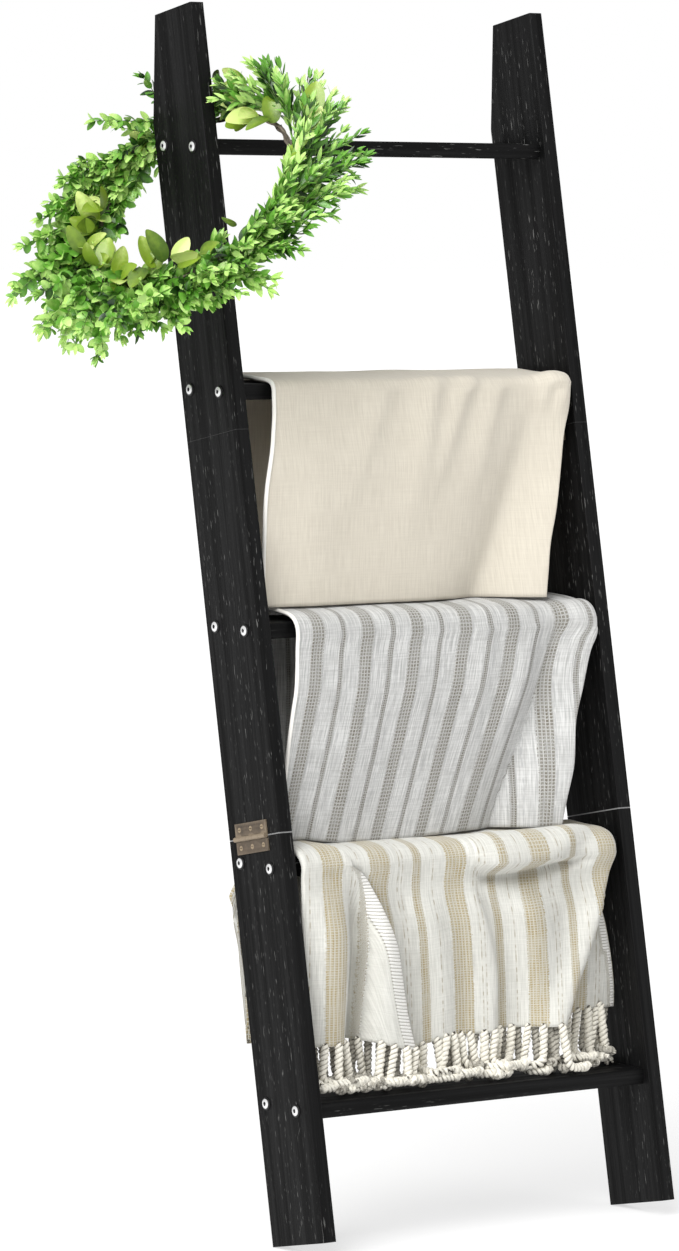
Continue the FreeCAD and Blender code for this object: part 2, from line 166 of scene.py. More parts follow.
class Nodes:
    """A short way to write a node material."""

    def __init__(self, name, roughness, metallic=0.0):
        self.material = bpy.data.materials.new(name)
        self.material.use_nodes = True
        self.tree = self.material.node_tree
        self.shader = self.tree.nodes["Principled BSDF"]
        self.shader.inputs["Metallic"].default_value = metallic
        self.shader.inputs["Roughness"].default_value = roughness

    def set(self, name, value):
        """Gives the shader a constant."""
        self.shader.inputs[name].default_value = value

    def put(self, socket, value):
        if isinstance(value, bpy.types.NodeSocket):
            self.tree.links.new(value, socket)
        elif value is not None:
            socket.default_value = value

    def math(self, operation, a, b=None, c=None):
        node = self.tree.nodes.new("ShaderNodeMath")
        node.operation = operation
        for socket, value in zip(node.inputs, (a, b, c)):
            self.put(socket, value)
        return node.outputs[0]

    def plus(self, a, b):
        return self.math("ADD", a, b)

    def minus(self, a, b):
        return self.math("SUBTRACT", a, b)

    def times(self, a, b):
        return self.math("MULTIPLY", a, b)

    def size(self, a):
        return self.math("ABSOLUTE", a)

    def place(self, scale=(1, 1, 1), turn=(0, 0, 0), source="Object"):
        coordinates = self.tree.nodes.new("ShaderNodeTexCoord")
        mapping = self.tree.nodes.new("ShaderNodeMapping")
        mapping.inputs["Scale"].default_value = scale
        first = self.tree.nodes.new("ShaderNodeVectorRotate")
        first.rotation_type = "EULER_XYZ"
        first.inputs["Rotation"].default_value = turn
        self.tree.links.new(coordinates.outputs[source], first.inputs["Vector"])
        self.tree.links.new(first.outputs[0], mapping.inputs["Vector"])
        return mapping.outputs[0]

    def split(self, vector):
        node = self.tree.nodes.new("ShaderNodeSeparateXYZ")
        self.put(node.inputs[0], vector)
        return node.outputs

    def noise(self, scale, detail=3.0, rough=0.55, turn=(0, 0, 0), source="Object"):
        """Noise with its own number of cells per metre along each axis."""
        node = self.tree.nodes.new("ShaderNodeTexNoise")
        self.put(node.inputs["Vector"], self.place(scale, turn, source))
        node.inputs["Scale"].default_value = 1.0
        node.inputs["Detail"].default_value = detail
        node.inputs["Roughness"].default_value = rough
        return node.outputs["Fac"]

    def ramp(self, value, low, high, from_zero=0.0, to_one=1.0):
        """Takes low..high to from_zero..to_one, smoothly and clamped."""
        node = self.tree.nodes.new("ShaderNodeMapRange")
        node.interpolation_type = "SMOOTHSTEP"
        for socket, given in zip(node.inputs, (value, low, high, from_zero, to_one)):
            self.put(socket, given)
        return node.outputs[0]

    def mix(self, factor, a, b):
        node = self.tree.nodes.new("ShaderNodeMix")
        node.data_type = "RGBA"
        self.put(node.inputs["Factor"], factor)
        for socket, value in ((node.inputs["A"], a), (node.inputs["B"], b)):
            self.put(socket, value if isinstance(value, bpy.types.NodeSocket) else (*value, 1.0))
        return node.outputs["Result"]

    def bump(self, height, strength, distance):
        node = self.tree.nodes.new("ShaderNodeBump")
        node.inputs["Strength"].default_value = strength
        node.inputs["Distance"].default_value = distance
        self.put(node.inputs["Height"], height)
        self.tree.links.new(node.outputs[0], self.shader.inputs["Normal"])

    def attribute(self, name):
        node = self.tree.nodes.new("ShaderNodeAttribute")
        node.attribute_name = name
        return node.outputs["Fac"]

    def colour(self, value):
        self.put(self.shader.inputs["Base Color"], value)

    def rough(self, value):
        self.put(self.shader.inputs["Roughness"], value)


def black_wood(name, leaned):
    """Black-stained wood with open grain along the board, light flecks in the pores and pale seams."""
    m = Nodes(name, 0.5)
    turn = (LEAN, 0, 0) if leaned else (0, math.pi / 2, 0)
    grain = m.noise((110, 110, 2.0), 6.0, 0.65, turn=turn)
    broad = m.noise((18, 18, 1.1), 3.0, turn=turn)
    pores = m.noise((620, 620, 55), 2.0, 0.5, turn=turn)
    wood = m.mix(m.ramp(grain, 0.36, 0.66), (0.0004, 0.0004, 0.0005), (0.0065, 0.0065, 0.0067))
    wood = m.mix(m.ramp(broad, 0.45, 0.8, 0.0, 0.4), wood, (0.006, 0.006, 0.0062))
    flecks = m.times(m.ramp(pores, 0.655, 0.72), m.ramp(broad, 0.4, 0.58))
    wood = m.mix(m.times(flecks, 0.8), wood, (0.15, 0.15, 0.145))
    if leaned:
        along = m.split(m.place(turn=turn))[2]
        for seam, half, pale in zip(SEAMS, (0.0009, 0.0005), (0.3, 0.05)):
            off = m.size(m.minus(along, seam))
            wood = m.mix(m.ramp(off, half, half * 0.5), wood, (pale, pale, pale))
    m.colour(wood)
    m.rough(m.ramp(grain, 0.3, 0.7, 0.66, 0.46))
    m.bump(m.plus(grain, m.times(pores, 0.4)), 0.6, 0.0011)
    m.set("Specular IOR Level", 0.15)
    return m.material


def bolt_steel():
    """Bright zinc with fine turning marks, with painted shade in the hex socket and round the rim where the
    head meets the wood.
    """
    m = Nodes("bolt_steel", 0.34, 0.55)
    marks = m.noise((900, 900, 900), 2.0)
    across = m.size(m.split(m.place())[0])
    # Painted shade: all that lies more than about a millimetre in from the head's face, the socket floor
    # and the rim, takes the near-black colour below.
    deep = m.ramp(across, BOLT_FACE - 0.0009, BOLT_FACE - 0.0014)
    steel = m.mix(m.ramp(marks, 0.3, 0.7), (0.78, 0.78, 0.78), (0.9, 0.9, 0.9))
    m.colour(m.mix(deep, steel, (0.015, 0.015, 0.015)))
    m.bump(marks, 0.12, 0.0003)
    return m.material


def worn_metal(name, dark, light, roughness, metallic, edge):
    """Brown antique finish, mottled, and rubbed lighter along its edges."""
    m = Nodes(name, roughness, metallic)
    cloud = m.noise((70, 70, 70), 4.0)
    fine = m.noise((600, 600, 600), 2.0)
    rub = m.ramp(m.tree.nodes.new("ShaderNodeNewGeometry").outputs["Pointiness"], 0.53, 0.62)
    m.colour(m.mix(m.times(rub, 0.8), m.mix(m.ramp(cloud, 0.3, 0.7), dark, light), edge))
    m.rough(m.ramp(fine, 0.3, 0.7, roughness - 0.08, roughness + 0.1))
    m.bump(m.plus(cloud, m.times(fine, 0.4)), 0.2, 0.0006)
    return m.material


def periodic(m, value, period, shift=0.0):
    """Signed distance to the nearest of the lines that lie a period apart, one of them at shift."""
    return m.minus(m.math("WRAP", m.plus(value, period / 2 - shift), period, 0.0),
                  period / 2)


def band(m, value, period, shift, half, soft):
    """One inside a repeated band of that half width, zero outside."""
    return m.ramp(m.size(periodic(m, value, period, shift)), half + soft, half - soft)


def threads(m, value, pitch):
    """The round backs of threads laid side by side."""
    return m.size(m.math("SINE", m.times(value, math.pi / pitch)))


def cloth(name, ground, shade, stripes, thread, slub, weave_bump):
    """Woven cloth laid out on the sheet's own metres: slubby ground, coloured warp stripes, weave."""
    m = Nodes(name, 0.9)
    across, down, _ = m.split(m.place(source="UV"))
    warp_slub = m.noise((620, 26, 1), 3.0, source="UV")
    weft_slub = m.noise((22, 560, 1), 3.0, source="UV")
    cloud = m.noise((9, 9, 1), 3.0, source="UV")
    uneven = m.plus(m.times(warp_slub, 0.72), m.times(weft_slub, 0.28))
    colour = m.mix(m.ramp(uneven, 0.5 - slub, 0.5 + slub), shade, ground)
    colour = m.mix(m.ramp(cloud, 0.35, 0.75, 0.0, 0.25), colour, shade)
    height = m.times(m.plus(threads(m, across, thread), threads(m, down, thread)), 0.5)
    height = m.plus(height, m.times(uneven, 1.2))
    for stripe in stripes:
        colour, height = stripe(m, across, down, colour, height, uneven)
    m.colour(colour)
    m.bump(height, weave_bump, 0.0009)
    m.set("Sheen Weight", 0.25)
    m.set("Sheen Roughness", 0.5)
    m.set("Specular IOR Level", 0.2)
    return m.material


def stripe(period, shift, half, tint, cell_across, cell_down, fill):
    """A warp stripe of small dark cells between pale threads."""
    def lay(m, across, down, colour, height, uneven):
        shot = m.minus(m.noise((40, 620, 1), 2.0, source="UV"), 0.5)
        ragged = m.plus(across, m.times(shot, half * 0.55))
        inside = m.times(band(m, ragged, period, shift, half, 0.0006), striped_part(m, across))
        columns = m.ramp(threads(m, m.minus(across, shift), cell_across), 1 - fill, 1.2 - fill)
        wander = m.plus(down, m.times(uneven, cell_down * 1.5))
        rows = m.ramp(threads(m, wander, cell_down), 1 - fill, 1.2 - fill)
        cells = m.times(columns, rows)
        worn = m.ramp(uneven, 0.36, 0.62, 0.45, 1.05)
        strength = m.times(m.times(inside, worn),
                          m.plus(0.3, m.times(cells, 0.7)))
        raised = m.plus(height, m.times(m.times(inside, columns), 1.1))
        return m.mix(strength, colour, tint), raised
    return lay


def fine_line(period, shift, tint, dash):
    """A single darker warp thread that shows in dashes."""
    def lay(m, across, down, colour, height, uneven):
        inside = m.times(band(m, across, period, shift, 0.0008, 0.0003), striped_part(m, across))
        shown = m.ramp(m.noise((1, dash, 1), 1.0, source="UV"), 0.42, 0.6, 0.1, 0.8)
        return m.mix(m.times(inside, shown), colour, tint), height
    return lay


SELVEDGE = 0.6


def striped_part(m, across):
    """One over the body of the cloth, zero past the place where its selvedge is laid out."""
    return m.ramp(across, SELVEDGE - 0.0002, SELVEDGE - 0.0012)


def ladder_stitch(width, pitch, thread, gap):
    """An open-work selvedge: cross threads like rungs between two dotted lines. The slits between the
    threads and the dots are holes, coloured with gap as a painted shade.
    """
    def lay(m, across, down, colour, height, uneven):
        inside = m.times(m.ramp(across, SELVEDGE - 0.0004, SELVEDGE + 0.0004),
                        m.ramp(across, SELVEDGE + width, SELVEDGE + width - 0.0008))
        bars = threads(m, m.plus(down, m.times(uneven, 0.0012)), pitch)
        border = m.size(m.minus(across, SELVEDGE + width))
        dots = m.times(m.ramp(border, 0.0012, 0.0006), m.ramp(bars, 0.6, 0.4))
        slit_shade = m.times(inside, m.ramp(bars, 0.55, 0.2))
        shown = m.mix(m.times(inside, 0.8), colour, thread)
        # The slits and the dots take the gap colour, a painted shade for the holes.
        shown = m.mix(m.math("MAXIMUM", m.times(slit_shade, 0.8), dots), shown, gap)
        return shown, m.plus(height, m.times(m.times(inside, bars), 2.2))
    return lay


def leaf_green(name, dark, middle, light, gloss):
    """Leaves whose green changes from leaf to leaf and over each leaf, with fine veins. The light colour at
    the top of the tone range is partly the leaves' own paler green and partly painted highlight.
    """
    m = Nodes(name, gloss)
    mottle = m.noise((170, 170, 170), 3.0)
    both = m.plus(m.times(m.attribute("tone"), 0.9), m.times(mottle, 0.3))
    green = m.mix(m.ramp(both, 0.16, 0.7), dark, middle)
    # The light colour, reached at the highest tones, is partly painted highlight.
    m.colour(m.mix(m.ramp(both, 0.7, 1.02), green, light))
    m.bump(m.noise((700, 700, 700), 2.0), 0.25, 0.0004)
    m.set("Specular IOR Level", 0.55)
    m.set("Subsurface Weight", 0.1)
    m.set("Subsurface Radius", (0.3, 1.0, 0.2))
    m.set("Subsurface Scale", 0.003)
    return m.material


def yarn(name, dark, light, scale=(500, 500, 500)):
    """Cotton yarn, its colour going from dark to light with the tone of each point. On the tassels that
    tone is painted shade in the grooves between the plies.
    """
    m = Nodes(name, 0.9)
    fibre = m.noise(scale, 3.0)
    both = m.plus(m.times(m.attribute("tone"), 0.75), m.times(fibre, 0.4))
    m.colour(m.mix(m.ramp(both, 0.15, 0.95), dark, light))
    m.bump(fibre, 0.5, 0.0006)
    m.set("Specular IOR Level", 0.2)
    return m.material


# --- the frame's own finishes ---------------------------------------------------------------------

def along_rail(node, end):
    """How far up the leaned rails an end of a CAD rail section lies."""
    points = node_points(node)
    along = points[:, 1] * math.sin(LEAN) + points[:, 2] * math.cos(LEAN)
    return float(along.max() if end == "top" else along.min())


SEAMS = tuple((along_rail(f"left_rail_{low}", "top") + along_rail(f"left_rail_{high}", "foot")) / 2
              for low, high in (("lower", "middle"), ("middle", "upper")))
BOLT_FACE = abs(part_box("left_rung_bolts")[0].x)


def finish_frame():
    rail, board, steel = black_wood("rail_wood", True), black_wood("rung_wood", False), bolt_steel()
    brass = worn_metal("insert_brass", (0.45, 0.33, 0.14), (0.6, 0.46, 0.22), 0.35, 0.9, (0.8, 0.65, 0.35))
    bronze = worn_metal("hinge_bronze", (0.05, 0.037, 0.026), (0.11, 0.08, 0.054), 0.48, 0.35,
                        (0.34, 0.27, 0.19))
    screw = worn_metal("screw_bronze", (0.11, 0.08, 0.05), (0.22, 0.16, 0.1), 0.38, 0.6, (0.5, 0.4, 0.27))
    finishes = (("_bolts", steel), ("_inserts", brass), ("_screws", screw), ("hinge", bronze),
                ("_rail_", rail), ("rung_", board))
    for node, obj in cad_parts.items():
        for word, material in finishes:
            if word in node:
                obj.data.materials.clear()
                obj.data.materials.append(material)
                break


# --- throws ---------------------------------------------------------------------------------------
# In this section x and z are world millimetres, and a "lift" is how far the cloth stands off its plain
# path, in millimetres. A value is t, 0 to 1 down a panel, or the angle in radians over the top.

FRONT, TOP, BACK = -1, 0, 1
INNER_LAYER = 0.86
CLOTH_STEP = 5.0


def hill(x, centre, height, left, right):
    """A ridge, or with a negative height a valley, across x, with its own width on each side."""
    off = x - centre
    return height * np.exp(-(off / np.where(off < 0, left, right)) ** 2)


def rise(x, start, end):
    """Goes smoothly from 0 at start to 1 at end."""
    f = np.clip((x - start) / (end - start), 0, 1)
    return f * f * (3 - 2 * f)


def crease(x, centre, before, before_width, after, after_width, soft=3.0):
    """A valley: the cloth falls to it from the left and climbs forward again to its right."""
    off = np.sqrt((x - centre) ** 2 + soft ** 2) - soft
    falls = before * (1 - np.exp(-off / before_width))
    climbs = after * np.sin(math.pi / 2 * np.clip(off / after_width, 0, 1))
    return np.where(x < centre, falls, climbs)


class Path:
    """The way a throw goes over its rung, taken from the CAD boxes.

    It leaves the panels at shoulder below the rung's top, stands puff above it and gap off its sides. power
    says how square it goes over, less being squarer."""

    def __init__(self, rung, node, shoulder, puff, gap, power):
        low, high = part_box(rung)
        points = node_points(node) / MM
        self.middle = (low.y + high.y) / 2 / MM
        self.half = (high.y - low.y) / 2 / MM + gap
        self.turn = high.z / MM - shoulder
        self.rise = shoulder + puff
        self.power = power
        self.front_hem = points[points[:, 1] < self.middle][:, 2].min()
        self.back_hem = points[:, 2].min()
        self.left, self.right = points[:, 0].min(), points[:, 0].max()

    def rows(self):
        """The zone of each row of cloth, and its t or its angle over the top."""
        front = np.linspace(1, 0, int((self.turn - self.front_hem) / CLOTH_STEP))
        over = np.linspace(0, math.pi, 30)[1:-1]
        back = np.linspace(0, 1, int((self.turn - self.back_hem) / CLOTH_STEP))
        zones = [FRONT] * len(front) + [TOP] * len(over) + [BACK] * len(back)
        return list(zip(zones, np.concatenate([front, over, back])))

    def depth_of(self, z):
        """t on the front panel at a height."""
        return (self.turn - z) / (self.turn - self.front_hem)

    def place(self, zone, value, out, hem):
        """y, z and the outward y, z of points of a row, each with its own offset and hem height."""
        if zone != TOP:
            y = self.middle + zone * (self.half + out)
            return y, self.turn - value * (self.turn - hem), zone, 0.0
        c, s = math.cos(value), math.sin(value)
        y = self.middle - math.copysign(abs(c) ** self.power, c) * (self.half + out)
        z = self.turn + s ** self.power * (self.rise + out)
        ny = -math.copysign(abs(c) ** (2 - self.power), c) / self.half
        nz = s ** (2 - self.power) / self.rise
        size = math.hypot(ny, nz)
        return y, z, ny / size, nz / size


def knots(path, *pairs):
    """A function of t on the front panel from (height, value) pairs."""
    return through(*sorted((float(path.depth_of(z)), value) for z, value in pairs))


def weave(name, path, legs, lift, spread, material, thick):
    """One sheet that crosses the throw in legs, each turning back into the next round a bend.

    A leg is (start x, end x, offset, front hem, back hem): the first two are functions of zone and t,
    the hems functions of x. lift takes (zone, value, x, leg) and gives the cloth's lift. spread also
    takes the lift and gives the cloth's own width coordinate. Returns the piece and its grid of points,
    in metres."""
    count = int((path.right - path.left) / CLOTH_STEP)
    bends = np.array([0.2, 0.4, 0.6, 0.8])
    points, uvs, down, before = [], [], 0.0, None
    for zone, value in path.rows():
        row, flat = [], []
        for leg, (start, end, offset, front_hem, back_hem) in enumerate(legs):
            x0, x1 = float(start(zone, value)), float(end(zone, value))
            x = np.linspace(x0, x1, count)
            out = np.full(count, float(offset))
            if leg + 1 < len(legs):
                following = legs[leg + 1][2]
                radius = (offset - following) / 2
                x = np.append(x, x1 + math.copysign(radius, x1 - x0) * np.sin(math.pi * bends))
                out = np.append(out, (offset + following) / 2 + radius * np.cos(math.pi * bends))
            hem = (front_hem if zone != BACK else back_hem)(x)
            y, z, ny, nz = path.place(zone, value, out, hem)
            raised = lift(zone, value, x, leg)
            row.append(np.stack([x, y + ny * raised, z + nz * raised], 1))
            flat.append(spread(zone, value, x, leg, raised))
        row, flat = np.concatenate(row), np.concatenate(flat)
        middle = row[count // 2]
        if before is not None:
            down += float(np.linalg.norm(middle - before))
        before = middle
        points.append(row)
        uvs.append(np.stack([flat, np.full(len(flat), down)], 1))
    grid = np.array(points) * MM
    piece = mesh_object(name, grid.reshape(-1, 3), grid_faces(*grid.shape[:2]), material,
                        np.array(uvs).reshape(-1, 2) * MM)
    solid = piece.modifiers.new("thickness", "SOLIDIFY")
    solid.thickness = thick * MM
    solid.offset = 0.0
    return piece, grid


def crumple(zone, value, x, seed, amount):
    """Small uneven waves, so that no stretch of cloth is quite flat."""
    down = {FRONT: value * 260, TOP: -40 * value, BACK: -130 - value * 260}[zone]
    return amount * bump_noise(x, np.full(len(x), down), 0.011, seed)


def rear_shoulder(zone, value):
    """The cloth stands a little off the rear edge of the rung before it falls."""
    if zone == TOP:
        return 5 * rise(value, 1.2, 2.3)
    return 5 * (1 - rise(value, 0, 0.25))


def back_waves(x, t, seed, amount):
    """The easy vertical folds of a back panel."""
    return amount * t * (np.sin(x / 26 + seed) + 0.6 * np.sin(x / 41 + 2.1 * seed))


def edge_cord(name, grid, width, material):
    """A rolled hem along the first column of the cloth."""
    path = grid[:, 0]
    points, faces = tube(path, np.full(len(path), width / 2 * MM), 8, squash=0.55)
    return mesh_object(name, points, faces, material)


def cream_lift(zone, value, x, leg):
    inner = INNER_LAYER if leg else 1.0
    small = crumple(zone, value, x, 3.1, 1.2)
    if zone == BACK:
        return inner * (back_waves(x, value, 0.4, 3.0) + small) + rear_shoulder(zone, value)
    line = float(CREAM_CREASE(value if zone == FRONT else 0.0))
    if zone == TOP:
        fade = max(0.0, 1 - value / 1.2)
        lift = crease(x, line, 5, 34, 8, 30) + hill(x, 226, 13, 34, 26) + hill(x, 34, 5, 20, 14)
        lift = fade * (lift + hill(x, 92, 6, 18, 10)) + small * 1.5
        return inner * lift + rear_shoulder(zone, value)
    t = value
    left = 5 + 17 * rise(t, 0.0, 0.4)
    right = float(through((0, 8), (0.25, 24), (0.6, 40), (1, 46))(t))
    lift = crease(x, line, left, 38, right, 100, 14)
    for centre, drift, height in ((30, -24, 8), (80, -40, 8), (-44, -40, 4), (134, -30, 6)):
        lift = lift + hill(x, centre + drift * t / 0.3, height * peak(t, 0, 0.4), 24, 15)
    lift = lift + hill(x, -150 - 20 * t, 4 * rise(t, 0.2, 0.7), 34, 46)
    lift = lift + hill(x, 226, 13 * peak(t, 0, 0.12), 34, 26)
    pinched = 2.6 * peak(t, 0, 0.11) * np.sin((x - 196 + 50 * t) / 5.2) * rise(x, 194, 216)
    return inner * (lift + pinched + small)


def striped_lift(zone, value, x, leg):
    inner = INNER_LAYER if leg else 1.0
    small = crumple(zone, value, x, 7.7, 1.1)
    if zone == BACK:
        return inner * (back_waves(x, value, 1.3, 3.0) + small) + rear_shoulder(zone, value)
    line = float(STRIPED_CREASE(value if zone == FRONT else 0.0))
    if zone == TOP:
        fade = max(0.0, 1 - value / 1.2)
        lift = crease(x, line, 5, 30, 10, 30) + hill(x, 228, 8, 40, 30)
        return inner * (fade * lift + small * 1.4) + rear_shoulder(zone, value)
    t = value
    left = 5 + 12 * rise(t, 0.0, 0.3)
    right = float(through((0, 10), (0.2, 26), (0.5, 42), (1, 40))(t))
    lift = crease(x, line, left, 28, right, 84)
    lift = lift + hill(x, line - 40, 6 * peak(t, 0.25, 0.35), 20, 14)
    lift = lift + hill(x, 78 - 60 * t, 4.0 * peak(t, 0.2, 0.35), 22, 14)
    lift = lift + hill(x, -120 - 40 * t, 3.5 * rise(t, 0.1, 0.6), 40, 40)
    lift = lift + hill(x, 232, 8 * peak(t, 0, 0.12), 30, 30)
    return inner * (lift + small)


def striped_spread(zone, value, x, leg, raised):
    """The warp slants down to the left as far as the crease, and hangs straight beyond it."""
    if leg or zone == BACK:
        return x.copy()
    t = value if zone == FRONT else 0.0
    slanted = (x + 74.6 * t) / (1 - 0.097 * t)
    centre = float(through((0.0, 190), (0.1, 180), (0.2, 172), (0.5, 161), (1, 148))(t))
    straight = 193 + (x - centre) * 1.04
    line = float(STRIPED_CREASE(t))
    share = rise(x, line - 1.5, line + 1.5) * min(1.0, t / 0.06)
    return slanted + (straight - slanted) * share


def flap_lift(t, x):
    """The near layer of the fringed throw: an upright roll, a deep valley, and a round bulging flap."""
    fold, edge = float(FRINGED_FOLD(t)), float(FRINGED_EDGE(t))
    spine = fold + 0.66 * (edge - fold)
    lift = hill(x, fold - 42, 16 * rise(t, 0, 0.4), 30, 24)
    lift = lift + hill(x, fold + 2, -34 * rise(t, 0.02, 0.35), 16, 12)
    return lift + hill(x, spine, 24 * rise(t, 0, 0.45), 22 + 0.2 * (edge - fold), 0.7 * (edge - fold) + 12)


def swag(height, x):
    """The soft roll that hangs across the top right of the fringed throw, and the hollow under it."""
    line = FRINGED_SWAG_HEIGHT(x)
    above = rise(height, line - 3, line + 16)
    under = np.exp(-((height - line + 6) / 7) ** 2) * (1 - rise(height, FRINGED.turn - 12, FRINGED.turn))
    return rise(x, -10, 40) * (24 * above - 16 * under * rise(x, 10, 50))


def top_waves(x):
    """The small waves along the top of the fringed throw."""
    return 3 + 2.5 * np.sin(x / 27 + 0.8) + hill(x, 30, -6, 14, 14)


def fringed_lift(zone, value, x, leg):
    inner = (0.9, 1.0, 0.8)[leg]
    small = crumple(zone, value, x, 12.3, 1.6)
    if zone == BACK:
        return inner * (back_waves(x, value, 2.2, 4.0) + small) + rear_shoulder(zone, value)
    if zone == TOP:
        fade = max(0.0, 1 - value / 1.5)
        height = FRINGED.turn + 0.75 * FRINGED.rise * math.sin(value)
        roll = fade * (swag(height, x) + hill(x, 218, 10, 50, 34))
        lift = roll + fade * top_waves(x) + small * 1.6
        return inner * lift + rear_shoulder(zone, value)
    t = value
    if leg == 0:
        return flap_lift(t, x) + small
    lift = swag(FRINGED.turn - t * (FRINGED.turn - FRINGED.front_hem), x)
    lift = lift + hill(x, 218, 10 * peak(t, 0, 0.2), 50, 34)
    lift = lift + peak(t, 0, 0.1) * top_waves(x)
    grown = rise(t, 0.08, 0.35)
    fold = float(FRINGED_VALLEY(t))
    lift = lift + grown * (hill(x, fold - 26, 18, 30, 13) + hill(x, fold + 50, 25, 30, 44))
    lift = lift + grown * (hill(x, fold - 104, 15, 20, 30) + hill(x, -108, -3, 30, 22))
    diagonal = float(FRINGED_DIAGONAL(t))
    beyond = 0.5 * (1 + np.tanh((x - diagonal) / 2.2)) * rise(t, 0.1, 0.2)
    lift = lift + hill(x, diagonal - 10, 23 * rise(t, 0.05, 0.4), 26, 40) * (1 - beyond)
    lift = inner * (lift * (1 - 0.92 * beyond) - 3 * beyond + small)
    return np.where(x < FRINGED_EDGE(t) + 4, np.minimum(lift, flap_lift(t, x) - 3 * (leg - 1)), lift)


def fringed_spread(zone, value, x, leg, raised):
    """The flap is laid out from its selvedge, the main panel's stripes drift, and the layer that shows
    beyond the diagonal has stripes of its own."""
    t = value if zone == FRONT else 0.0
    if leg == 0:
        fold, edge = float(FRINGED_FOLD(t)), float(FRINGED_EDGE(t))
        share = rise(x, fold + 8, fold + 12) if zone == FRONT else 0.0
        near_fold = x + 207
        return near_fold + (SELVEDGE / MM + edge - x - near_fold) * share
    if leg == 2 or zone == BACK:
        return x + 12
    drift = float(through((0, 14), (0.15, 13), (0.32, 3), (0.6, -4), (1, -9))(t))
    main = x + drift + 0.745 * raised * min(1.0, t / 0.1)
    diagonal, edge = float(FRINGED_DIAGONAL(t)), float(FRINGED_RIGHT(t))
    share = rise(x, diagonal - 1, diagonal + 1.5) * rise(t, 0.1, 0.16)
    lower = np.where(edge - x < 10, SELVEDGE / MM + edge - x, 236 + (x - 189))
    return main + (lower - main) * share


CREAM = Path("rung_2", "throw_cream", shoulder=9, puff=4, gap=7.6, power=0.62)
STRIPED = Path("rung_3", "throw_striped", shoulder=19, puff=10, gap=6.5, power=0.66)
FRINGED = Path("rung_4", "throw_fringed", shoulder=17, puff=9, gap=6.5, power=0.66)

# Where each crease, fold and edge runs down the front: pairs of height and x.

CREAM_CREASE = knots(CREAM, (1038, 194), (984, 181), (921, 158), (858, 135), (808, 114), (773, 100))
STRIPED_CREASE = knots(STRIPED, (749, 196), (714, 180), (660, 160), (614, 140), (566, 117), (520, 97),
                       (487, 86))
FRINGED_FOLD = knots(FRINGED, (464, -180), (415, -166), (364, -162), (300, -163), (241, -166))
FRINGED_EDGE = knots(FRINGED, (470, -182), (454, -160), (429, -144), (394, -130), (353, -117), (312, -108),
                     (271, -98), (236, -86))
FRINGED_VALLEY = knots(FRINGED, (440, 27), (404, 41), (355, 58), (307, 67), (259, 67))
FRINGED_DIAGONAL = knots(FRINGED, (455, 242), (440, 236), (372, 211), (325, 191), (279, 165), (243, 144))
FRINGED_RIGHT = knots(FRINGED, (454, 238), (430, 227), (399, 222), (357, 233), (308, 243), (266, 248),
                      (241, 249))

# The height at which the soft roll hangs across the fringed throw: pairs of x and height.
FRINGED_SWAG_HEIGHT = through((-240, 470), (0, 458), (27, 441), (57, 438), (100, 440), (143, 447),
                              (187, 460), (217, 470), (260, 476))


def side_edge(front, back):
    """A side of a throw: front is its x down the front, and it goes over to back's x behind the rung."""
    def at(zone, t):
        if zone == FRONT:
            return front(t)
        top = float(front(0.0))
        if zone == TOP:
            return top
        return top + (back(t) - top) * min(1.0, t / 0.3)
    return at


def inset(edge, by):
    """The edge of an inner layer, a little to the right of the one that covers it."""
    return lambda zone, t: edge(zone, t) + by


def level(height, slope=0.0, wave=0.0):
    """A hem at a height, with a tilt and a slow wave across."""
    return lambda x: height + slope * x + wave * np.sin(x / 55 + 1.0)


def plain_spread(zone, value, x, leg, raised):
    return x.copy()


def striped_weave():
    taupe, brown = (0.175, 0.16, 0.128), (0.16, 0.147, 0.12)
    period, first = 0.0763, -0.0335
    return cloth("striped_weave", (0.7, 0.7, 0.685), (0.42, 0.42, 0.41), (
        stripe(period, first, 0.0098, taupe, 0.0045, 0.0044, 0.66),
        stripe(period, first + period / 2, 0.0038, brown, 0.0034, 0.003, 0.75),
        fine_line(period, 0.002, (0.4, 0.4, 0.4), 60),
        fine_line(period, 0.016, (0.42, 0.42, 0.42), 80),
        fine_line(period, -0.022, (0.42, 0.42, 0.42), 70)), 0.0014, 0.15, 0.55)


def ribbed_weave():
    beige, sand = (0.37, 0.295, 0.145), (0.35, 0.285, 0.155)
    period = 0.118
    return cloth("ribbed_weave", (0.76, 0.755, 0.705), (0.56, 0.555, 0.51), (
        stripe(period, 0.0, 0.0155, beige, 0.0052, 0.0032, 0.72),
        stripe(period, period / 2, 0.0062, sand, 0.0042, 0.003, 0.78),
        fine_line(period, 0.03, (0.36, 0.31, 0.22), 90),
        fine_line(period, 0.036, (0.4, 0.35, 0.27), 120),
        fine_line(period, -0.034, (0.36, 0.31, 0.22), 100),
        # The last colour of the ladder stitch is the painted shade in its holes.
        ladder_stitch(0.019, 0.0042, (0.9, 0.89, 0.86), (0.3, 0.28, 0.24))), 0.0016, 0.2, 0.6)


def cream_throw(white):
    left = side_edge(knots(CREAM, (1038, -216), (1018, -216), (980, -223), (936, -234), (850, -240),
                           (773, -240)), lambda t: -205)
    right = side_edge(knots(CREAM, (1038, 243), (1011, 241), (984, 234), (941, 224), (883, 210),
                            (840, 198), (804, 192), (773, 187)), lambda t: 240)
    front, back = level(CREAM.front_hem + 1.2), level(CREAM.back_hem, 0.0, 2)
    legs = [(left, right, 2.5, front, back), (right, inset(left, 5), -1.5, front, back)]
    linen = cloth("cream_linen", (0.715, 0.665, 0.565), (0.61, 0.56, 0.47), (), 0.0009, 0.2, 0.25)
    piece, grid = weave("cream_throw", CREAM, legs, cream_lift, plain_spread, linen, 1.4)
    hem = edge_cord("cream_hem", grid, 5.4, white)
    finish_throw(piece, ["throw_cream"], [hem])


